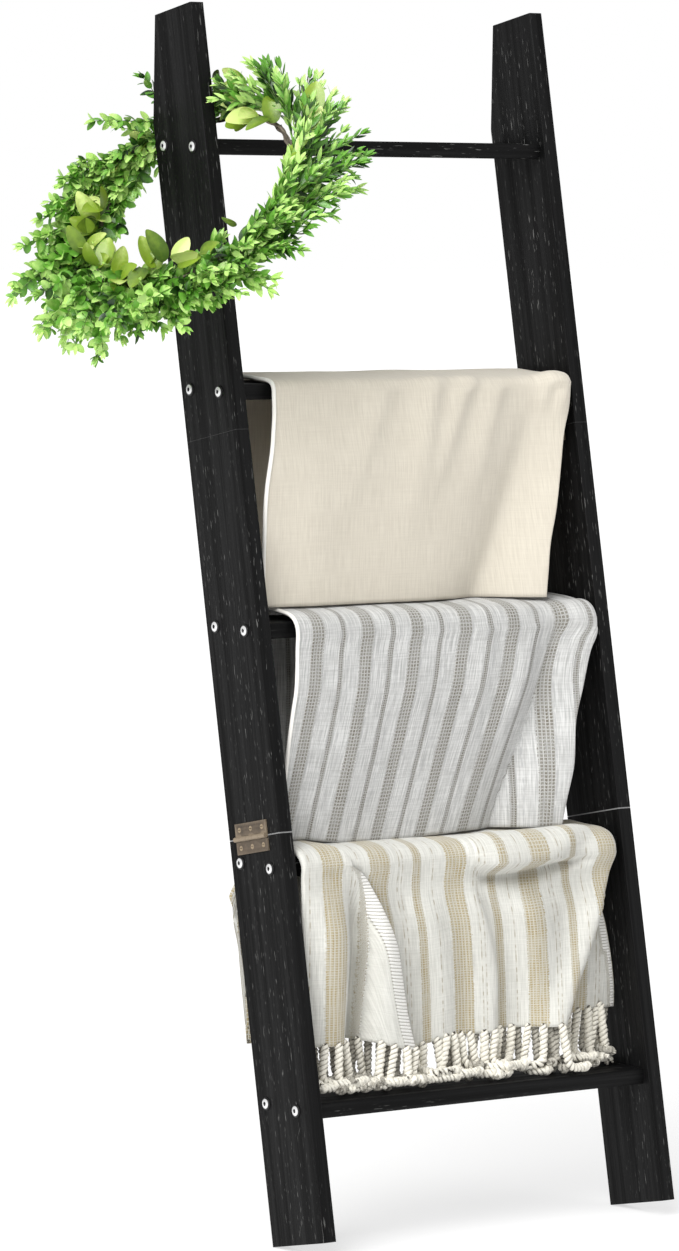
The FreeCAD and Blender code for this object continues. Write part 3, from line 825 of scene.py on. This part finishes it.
def striped_throw(white):
    left = side_edge(knots(STRIPED, (749, -217), (717, -220), (688, -225), (656, -231), (560, -243),
                           (487, -248)), lambda t: -214)
    right = side_edge(knots(STRIPED, (749, 241), (739, 244), (709, 231), (665, 214), (624, 198),
                            (555, 187), (525, 180), (487, 173)), lambda t: 236)
    hem = STRIPED.front_hem
    front = through((-252, hem + 7), (-214, hem + 6.5), (-185, hem + 2.5), (60, hem + 2), (180, hem + 3))
    back = level(STRIPED.back_hem, 0.0, 2)
    legs = [(left, right, 2.5, front, back), (right, inset(left, 4), -1.5, front, back)]
    piece, grid = weave("striped_throw", STRIPED, legs, striped_lift, striped_spread, striped_weave(), 1.5)
    cord = edge_cord("striped_hem", grid, 5.0, white)
    finish_throw(piece, ["throw_striped"], [cord])


def flap_edge(zone, value):
    """The free edge of the fringed throw's flap, which goes back over the rung towards the left."""
    if zone == FRONT:
        return float(FRINGED_EDGE(value))
    return -178 - 56 * (1 if zone == BACK else rise(value, 0, 2.4))


def fringed_throw():
    left = side_edge(knots(FRINGED, (454, -246), (380, -246), (241, -240)),
                     through((0.02, -252), (0.1, -264), (0.5, -260), (1, -248)))
    right = side_edge(FRINGED_RIGHT, lambda t: 238)
    front = through((-212, 246), (-150, 246), (-108, 236), (-66, 232), (-41, 240), (19, 242), (62, 244),
                    (149, 249), (192, 255), (245, 257))
    far, near = level(327, 0.0, 3), level(239, 0.02, 3)
    legs = [(flap_edge, left, 9.0, front, far), (left, right, 2.5, front, near),
            (right, inset(left, 6), -1.0, lambda x: front(x) + 4, far)]
    piece, grid = weave("fringed_throw", FRINGED, legs, fringed_lift, fringed_spread, ribbed_weave(), 1.7)
    tassels = fringe(grid)
    finish_throw(piece, ["throw_fringed"], [tassels])
    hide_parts("throw_fringe")


def throws():
    white = cloth("white_hem", (0.92, 0.9, 0.85), (0.84, 0.82, 0.77), (), 0.0009, 0.2, 0.25)
    cream_throw(white)
    striped_throw(white)
    fringed_throw()


def finish_throw(piece, replaced, extras):
    """Puts a throw and its extra pieces on the ladder and hides the CAD throw parts they replace."""
    for part in [piece, *extras]:
        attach(part, "ladder")
    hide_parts(*replaced)


# --- fringe ---------------------------------------------------------------------------------------

TASSEL_PITCH = 0.0158
ROPE_RADIUS = 0.0058
PLY_TWIST = 0.0124
PLY_SIDES = 9


def tassel(parts, start, lean, length, drift, pile, pale, low, high, rng):
    """One twisted two-ply tassel: it hangs from the hem, lies down over the rung and ends in a knot."""
    step = 0.0026
    floor = high.z + ROPE_RADIUS * 1.1 + pile
    front, side = low.y + 0.007, high.x - ROPE_RADIUS * 2.4
    at, heading = Vector(start), Vector((lean, -0.1, -1)).normalized()
    centre = [at.copy()]
    for _ in range(int(length / step)):
        room = (at.z - floor) / 0.012
        if room < 1:
            flat = Vector((drift, -0.75 if at.y > front + 0.01 else 0.1, 0)).normalized()
            heading = heading.lerp(flat, 0.34 * (1 - max(room, 0)) + 0.06).normalized()
        at = at + heading * step
        at.z = max(at.z, floor)
        at.x = min(max(at.x, -side), side)
        centre.append(at.copy())
    path = np.array([tuple(p) for p in centre])
    ahead = unit(np.gradient(path, axis=0))
    first = unit(np.cross(ahead, (1.0, 0.1, 0.05)))
    second = np.cross(ahead, first)
    run = np.concatenate([[0], np.cumsum(np.linalg.norm(np.diff(path, axis=0), axis=1))])
    begin = rng.uniform(0, 6.28)
    slim = rng.uniform(0.88, 1.04) * np.minimum(1, 0.62 + run / 0.014)
    rope = np.repeat(ROPE_RADIUS * slim, PLY_SIDES)
    for ply in (0, math.pi):
        turn = (begin + ply + 2 * math.pi * run / PLY_TWIST)[:, None]
        strand = path + ROPE_RADIUS * 0.56 * slim[:, None] * (np.cos(turn) * first + np.sin(turn) * second)
        points, faces = tube(strand, ROPE_RADIUS * 0.53 * slim, PLY_SIDES)
        away = np.linalg.norm(points - np.repeat(path, PLY_SIDES, axis=0), axis=1) / rope
        # Painted shade: points that lie deep between the two plies get a low tone, so the yarn is dark in
        # its grooves.
        groove_shade = np.clip((away - 0.66) / 0.34, 0, 1)
        parts.add(points, faces, groove_shade * pale * rng.uniform(0.8, 1.0))
    knot(parts, path[-1], ahead[-1], pale, rng)


def knot(parts, at, heading, pale, rng):
    """An overhand knot: two crossing turns of yarn and a short frayed end."""
    side = unit(np.cross(heading, (0.3 + rng.uniform(-0.3, 0.3), 0.5, 0.8)))
    up = np.cross(heading, side)
    turns = np.linspace(0, 2.2 * math.pi, 22)
    for tilt in (0.5, -0.5):
        ring = (at + np.outer(np.cos(turns), side) * ROPE_RADIUS * 0.8
                + np.outer(np.sin(turns), up) * ROPE_RADIUS * 0.66
                + np.outer(np.cos(turns) * tilt * ROPE_RADIUS + turns * 0.0004, heading))
        parts.tube(ring, np.full(len(turns), ROPE_RADIUS * 0.46), 8, pale * rng.uniform(0.5, 1.0))
    for _ in range(5):
        fray = np.array([rng.uniform(-1, 1), rng.uniform(-1, 1), rng.uniform(-0.2, 0.5)])
        aim = unit(heading + 0.5 * fray)
        end = at + np.outer(np.linspace(0.001, rng.uniform(0.007, 0.012), 5), aim)
        radii = np.linspace(ROPE_RADIUS * 0.42, ROPE_RADIUS * 0.26, 5)
        parts.tube(end, radii, 6, pale * rng.uniform(0.3, 0.95))


def fringe(grid):
    """Tassels along the front hem and the one behind it, all landing on the rung below."""
    rng = random.Random(41)
    low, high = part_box("rung_5")
    parts = Parts()
    count = grid.shape[1] // 3
    flap, main, behind = grid[0, :count], grid[0, count:count * 2 - 4], grid[0, count * 2 + 4:]
    near = np.concatenate([flap, main[main[:, 0] > flap[:, 0].max()]])
    # The row behind takes pale 0.55, a painted shade for the tassels that hang behind the front row.
    for hem, offset, back, pale in ((near, 0.3, 0.0, 1.0), (behind, 0.8, 0.006, 0.55)):
        order = np.argsort(hem[:, 0])
        xs, ys, zs = hem[order, 0], hem[order, 1], hem[order, 2]
        x = max(xs[0], low.x + ROPE_RADIUS) + TASSEL_PITCH * offset
        while x < xs[-1] - 0.004:
            y, z = float(np.interp(x, xs, ys)), float(np.interp(x, xs, zs))
            spill = 0.5 - 0.5 * math.sin((x + 0.01) * 11) + rng.uniform(-0.25, 0.25)
            tassel(parts, (x, y - 0.001 + back, z + 0.004), rng.uniform(-0.26, 0.2),
                   0.08 + 0.026 * spill - back * 2, rng.uniform(-1.4, 1.4), rng.uniform(0, 0.014),
                   pale, low, high, rng)
            x += TASSEL_PITCH * rng.uniform(0.8, 1.16)
    corner = main[np.argmax(main[:, 0])]
    tassel(parts, (corner[0] - 0.003, corner[1] - 0.002, corner[2] + 0.008), 0.1, 0.072, 0.1, 0.0,
           1.0, low, high, rng)
    return parts.piece("tassel_fringe", yarn("cotton_yarn", (0.03, 0.022, 0.012), (0.82, 0.79, 0.7)))


# --- wreath ---------------------------------------------------------------------------------------

LEAF_GAP = 0.0088
FOLIAGE_WALL = 0.328
STEM_WALL = FOLIAGE_WALL - 0.006
LEAF_WALL = FOLIAGE_WALL + 0.008
LEAF_ROOM = 0.003
STEM_ROOM = 0.011
SPRIGS = 300

# Where the larger leaves grow: degrees round the hoop, mm out from it, and how many.
LARGE_LEAVES = ((58, -6, 2), (76, -10, 4), (86, 4, 4), (94, 26, 3), (112, 34, 4), (150, 6, 4), (162, 16, 3),
                (194, -12, 4), (208, -6, 5), (222, 10, 4), (240, 2, 4), (262, 4, 4), (282, -8, 5),
                (296, -10, 4), (312, 2, 2), (336, -4, 1), (20, 14, 2), (40, 40, 2))


def leaf(length, width, cup, curl, blunt=0.75, stations=6):
    """An oval leaf along +X, cupped across its midrib and curling down towards its tip."""
    points = []
    for k in range(stations):
        share = k / (stations - 1)
        half = width / 2 * math.sin(math.pi * (0.04 + 0.94 * share) ** 0.85) ** blunt
        drop = -curl * length * share * share
        for across in (-1, 0, 1):
            points.append((share * length, across * half, drop + abs(across) * half * cup))
    return np.array(points), grid_faces(stations, 3)


def leaf_tones(tone, points):
    """Lighter along the midrib, the leaf's own colour; lighter at the tip as painted light and darker where
    the leaf leaves its stem as painted shade.
    """
    share = np.arange(len(points)) // 3 / (len(points) / 3 - 1)
    middle = np.arange(len(points)) % 3 == 1
    return np.clip(tone - 0.16 + 0.26 * share + 0.12 * middle, 0, 1)


def aimed(points, at, along, up):
    """Points drawn along +X with +Z up, turned to a direction and moved to a place."""
    x = unit(np.asarray(along, float))
    y = unit(np.cross(up, x))
    return at + points @ np.array([x, y, np.cross(x, y)])


def scatter(rng):
    """A random vector, as likely to point any way."""
    return np.array([rng.gauss(0, 1) for _ in range(3)])


class Hoop:
    """The circle of the wreath, fitted to the CAD hoop's own points."""

    def __init__(self):
        points = node_points("wreath_hoop")
        self.centre = (points.max(0) + points.min(0)) / 2
        _, _, axes = np.linalg.svd(points - points.mean(0), full_matrices=False)
        self.normal = axes[2] * (1 if axes[2][2] > 0 else -1)
        away = points - self.centre
        flat = away - np.outer(away @ self.normal, self.normal)
        reach = np.linalg.norm(flat, axis=1)
        self.radius = (reach.max() + reach.min()) / 2
        self.first = unit(np.cross((0.0, 0.0, 1.0), self.normal))
        self.second = np.cross(self.normal, self.first)

    def outward(self, turn):
        return math.cos(turn) * self.first + math.sin(turn) * self.second

    def forward(self, turn):
        return -math.sin(turn) * self.first + math.cos(turn) * self.second

    def at(self, turn, out=0.0, up=0.0):
        return self.centre + (self.radius + out) * self.outward(turn) + up * self.normal


class Neighbours:
    """The left rail, the top rung and the wall, which the foliage bends away from."""

    def __init__(self):
        rail = node_points("left_rail_middle")
        level = rail[:, 1] - rail[:, 2] * math.tan(LEAN)
        self.rail = (rail[:, 0].min(), rail[:, 0].max(), level.min(), level.max())
        low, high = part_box("rung_1")
        self.rung = (low.y, high.y, high.z)

    def escape(self, point, room):
        """The shortest way out of the rail and of the space the rung passes as the wreath is lifted."""
        x, y, z = point
        left, right, front, rear = self.rail
        level = y - z * math.tan(LEAN)
        ways = ((left - room - x, 0), (right + room - x, 0),
                (front - room - level, 1), (rear + room - level, 1))
        if ways[0][0] < 0 < ways[1][0] and ways[2][0] < 0 < ways[3][0]:
            shift, axis = min(ways, key=lambda way: abs(way[0]))
            return np.array([shift if axis == 0 else 0.0, shift if axis == 1 else 0.0, 0.0])
        front, rear, top = self.rung
        level = y + (top - z) * math.tan(LEAN)
        if x > right and z < top + room and front - room < level < rear + room:
            if top + room - z < level - front + room:
                return np.array([0.0, 0.0, top + room - z])
            return np.array([0.0, front - room - level, 0.0])
        return np.zeros(3)

    def blocks(self, point):
        """Whether a leaf's point would lie in the ladder or too far into the wall."""
        return bool(np.any(self.escape(point, LEAF_ROOM))) or point[1] > LEAF_WALL


def twigs(hoop, bark):
    """Four thin twigs wound round each other, with knobbly bark and a few loose ends."""
    rng = random.Random(7)
    parts = Parts()
    turns = np.linspace(0, 2 * math.pi, 181)
    for twig in range(4):
        path = []
        for turn in turns:
            wind = turn * 9 + twig * math.pi / 2
            wobble = 0.0007 * math.sin(turn * 23 + twig * 5)
            path.append(hoop.at(turn, 0.0019 * math.cos(wind) + wobble, 0.0019 * math.sin(wind)))
        radii = [0.0017 + 0.0003 * math.sin(turn * 31 + twig * 2) for turn in turns]
        parts.tube(path, radii, 7, 0.3 + 0.15 * twig)
    for _ in range(26):
        turn = rng.uniform(0, 2 * math.pi)
        aim = (hoop.forward(turn) + hoop.outward(turn) * rng.uniform(-0.1, 0.3)
               + hoop.normal * rng.uniform(-0.1, 0.3))
        reach = rng.uniform(0.02, 0.035)
        path = [hoop.at(turn) + aim * share * reach for share in np.linspace(0, 1, 5)]
        parts.tube(path, np.linspace(0.0014, 0.0007, 5), 6, 0.5)
    return parts.piece("wreath_twigs", bark)


def sprig(stems, leaves, neighbours, start, heading, droop, length, size, roundness, tone, rng):
    """A bowed green stem with pairs of leaves and a tuft at its tip. It bends round what is in its way."""
    count = max(6, int(length / LEAF_GAP))
    at, along = np.array(start, float), unit(heading)
    path = [at.copy()]
    for k in range(count):
        along = unit(along + np.array([0.0, 0.0, -droop / count]))
        ahead = at + along * length / count
        ahead = ahead + neighbours.escape(ahead, STEM_ROOM)
        if ahead[1] > STEM_WALL:
            ahead[1] = STEM_WALL
            along[0] -= 0.3
        if k > 1:
            along = unit(along + 0.6 * unit(ahead - at))
        at = ahead
        path.append(at.copy())
        side = unit(np.cross(along, (0.15, 0.1, 1.0)))
        over = np.cross(side, along)
        twist = rng.uniform(-0.5, 0.5) + (math.pi / 2 if k % 2 else 0.0)
        across = math.cos(twist) * side + math.sin(twist) * over
        grown = size * (1.0 - 0.4 * (k / count) ** 2) * rng.uniform(0.75, 1.15)
        for sign in (-1, 1):
            aim = sign * across + along * rng.uniform(0.75, 1.6) * (1.5 - 1.0 * roundness)
            width = grown * (0.29 + 0.46 * roundness) * rng.uniform(0.88, 1.12)
            cup, curl = rng.uniform(0.1, 0.5), rng.uniform(-0.1, 0.35)
            shape, faces = leaf(grown, width, cup, curl, 0.8 - 0.32 * roundness)
            facing = np.array([-0.42, -0.6, 0.62]) + 0.75 * scatter(rng)
            shade = np.clip(tone + rng.uniform(-0.45, 0.45), 0, 1)
            tip = at + grown * unit(aim)
            if not neighbours.blocks(tip) and not neighbours.blocks((at + tip) / 2):
                leaves.add(aimed(shape, at, aim, facing), faces, leaf_tones(shade, shape))
    for _ in range(3):
        aim = along + 0.4 * np.array([rng.uniform(-1, 1) for _ in range(3)])
        shape, faces = leaf(size * 0.75, size * 0.24, 0.3, 0.1)
        if not neighbours.blocks(at + size * 0.75 * aim):
            leaves.add(aimed(shape, at, aim, (-0.4, -0.5, 0.7)), faces, min(1, tone + 0.25))
    stems.tube(path, np.linspace(0.0011, 0.0005, len(path)), 5, 0.4)


def along_wall(way):
    """A direction with most of its way towards the wall turned to the left instead."""
    turned = way.copy()
    turned[0] -= max(0.0, way[1] - 0.1)
    turned[1] = min(way[1], 0.1)
    return turned


def grow_sprigs(hoop, neighbours, stems, leaves):
    """Sprigs all lie the same way round the hoop: long and narrow on the right, rounder on the left."""
    rng = random.Random(23)

    def share(degrees, start, end):
        """How much of this place on the hoop lies towards an angle, 0 to 1."""
        return rise(math.cos(turn - math.radians(degrees)), start, end)

    for k in range(SPRIGS):
        turn = 2 * math.pi * (k + rng.uniform(-0.5, 0.5)) / SPRIGS
        roundness = 0.5 - 0.5 * math.cos(turn - math.radians(25))
        inner = k % 5 == 0 and roundness > 0.35
        above = share(72, 0.5, 0.95)
        below = share(270, 0.5, 1.0)
        left = share(212, 0.78, 1.0)
        upper_left = share(172, 0.85, 1.0)
        behind = share(120, 0.9, 1.0)
        splay = rng.uniform(0.1, 1.1 + 0.3 * left - 0.75 * above - 0.4 * upper_left - 0.3 * below)
        reach = rng.uniform(0.066, 0.098 + 0.04 * left - 0.026 * above - 0.008 * below + 0.03 * behind)
        if above > 0.5 and k % 2:
            continue
        if inner:
            splay, reach = rng.uniform(-0.7, -0.1), rng.uniform(0.03, 0.042)
        heading = (hoop.forward(turn) * rng.uniform(0.55, 1.0) + hoop.outward(turn) * splay
                   + hoop.normal * rng.uniform(-0.35, 0.55 - 0.35 * above))
        out = 0.001 if inner else rng.uniform(0.001, 0.022) + (0.006 if roundness < 0.4 else 0.0)
        start = hoop.at(turn, out, rng.uniform(-0.006, 0.01))
        start = start + neighbours.escape(start, 0.008)
        size = rng.uniform(0.0195, 0.0255) * (1 - 0.16 * roundness)
        droop = rng.uniform(0.0, 0.25 + 0.75 * left)
        # Painted light: the rounder sprigs on the left of the hoop get a higher tone, so that side is
        # lighter, as if lit.
        tone = rng.uniform(0.2, 0.8) + 0.26 * roundness
        sprig(stems, leaves, neighbours, start, along_wall(heading), droop, reach, size, roundness,
              tone, rng)


def grow_large_leaves(hoop, neighbours, large):
    rng = random.Random(5)
    for degrees, out, count in LARGE_LEAVES:
        for _ in range(count):
            turn = math.radians(degrees + rng.uniform(-5, 5))
            aim = (hoop.forward(turn) * rng.uniform(-0.4, 1.0)
                   + hoop.outward(turn) * rng.uniform(-0.8, 0.9) + hoop.normal * rng.uniform(0.0, 0.5))
            length = rng.uniform(0.03, 0.045)
            start = hoop.at(turn, (out + rng.uniform(-4, 4)) * MM, rng.uniform(0.012, 0.026))
            start = start + neighbours.escape(start, 0.012)
            width, curl = length * rng.uniform(0.54, 0.66), rng.uniform(0.0, 0.3)
            shape, faces = leaf(length, width, 0.25, curl, 0.6, 9)
            facing = np.array([-0.55, -0.7, 0.4]) + 0.4 * scatter(rng)
            shade = rng.uniform(0.15, 1.0)
            if not neighbours.blocks(start + length * unit(aim)):
                large.add(aimed(shape, start, along_wall(aim), facing), faces, leaf_tones(shade, shape))


def wreath():
    hoop, neighbours = Hoop(), Neighbours()
    bark = yarn("twig_bark", (0.05, 0.042, 0.034), (0.24, 0.2, 0.16), (300, 300, 300))
    # The third colour of each green is partly painted highlight.
    green = leaf_green("small_leaf_green", (0.004, 0.026, 0.003), (0.13, 0.36, 0.035),
                        (0.52, 0.79, 0.22), 0.34)
    bright = leaf_green("large_leaf_green", (0.05, 0.11, 0.01), (0.24, 0.37, 0.03),
                        (0.62, 0.74, 0.24), 0.34)
    stem_green = leaf_green("stem_green", (0.06, 0.12, 0.03), (0.16, 0.28, 0.07),
                        (0.32, 0.46, 0.16), 0.5)
    stems, leaves, large = Parts(), Parts(), Parts()
    grow_sprigs(hoop, neighbours, stems, leaves)
    grow_large_leaves(hoop, neighbours, large)
    pieces = [twigs(hoop, bark), stems.piece("sprig_stems", stem_green),
              leaves.piece("small_leaves", green), large.piece("large_leaves", bright)]
    for piece, slot in zip(pieces, ("twig", "twig", "foliage", "foliage")):
        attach(piece, "wreath")
    soft = pieces[3].modifiers.new("round", "SUBSURF")
    soft.levels = soft.render_levels = 1
    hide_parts("wreath_hoop")
    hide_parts("foliage_left", "foliage_front", "foliage_top")


# --- stage ----------------------------------------------------------------------------------------

CAMERA_PLACE = (-4.3897, -5.6204, 1.3573)
CAMERA_PAN = math.radians(-36.766)
CAMERA_TILT = math.radians(85.118)
CAMERA_ROLL = math.radians(0.985)
CAMERA_LENS = 166.47


def camera():
    data = bpy.data.cameras.new("camera")
    data.sensor_width = 36.0
    data.lens = CAMERA_LENS
    data.clip_end = 100
    obj = link("camera", data)
    turn = Matrix.Rotation(CAMERA_PAN, 4, "Z") @ Matrix.Rotation(CAMERA_TILT, 4, "X")
    turn = turn @ Matrix.Rotation(CAMERA_ROLL, 4, "Z")
    obj.matrix_world = Matrix.Translation(CAMERA_PLACE) @ turn
    bpy.context.scene.camera = obj


def sun(name, azimuth, elevation, strength, softness):
    """A distant soft light. Azimuth is in degrees from straight in front, positive to the left."""
    data = bpy.data.lights.new(name, "SUN")
    data.energy = strength
    data.angle = math.radians(softness)
    obj = link(name, data)
    level = math.cos(math.radians(elevation))
    towards = Vector((-math.sin(math.radians(azimuth)) * level, -math.cos(math.radians(azimuth)) * level,
                      math.sin(math.radians(elevation))))
    obj.rotation_euler = towards.to_track_quat("Z", "Y").to_euler()


def studio():
    scene = bpy.context.scene
    scene.view_settings.view_transform = "Standard"
    world = bpy.data.worlds.new("studio")
    world.use_nodes = True
    tree = world.node_tree
    seen = tree.nodes.new("ShaderNodeLightPath").outputs["Is Camera Ray"]
    strength = tree.nodes.new("ShaderNodeMapRange")
    strength.inputs["To Min"].default_value = 0.36
    strength.inputs["To Max"].default_value = 1.0
    tree.links.new(seen, strength.inputs["Value"])
    tree.links.new(strength.outputs[0], tree.nodes["Background"].inputs["Strength"])
    tree.nodes["Background"].inputs["Color"].default_value = (1.0, 1.0, 1.0, 1)
    scene.world = world
    floor = Nodes("studio_floor", 0.8)
    floor.colour((0.42, 0.42, 0.42, 1.0))
    floor.set("Emission Color", (1.0, 1.0, 1.0, 1.0))
    floor.set("Emission Strength", 0.62)
    floor.set("Specular IOR Level", 0.0)
    size = 40.0
    points = [(-size, -size, 0), (size, -size, 0), (size, size, 0), (-size, size, 0)]
    mesh_object("floor", points, [(0, 1, 2, 3)], floor.material, smooth=False)
    sun("key", 64, 37, 3.35, 45)
    sun("fill", -35, 30, 0.25, 60)
    sun("overhead", 0, 86, 0.55, 50)


camera()
finish_frame()
throws()
wreath()
studio()
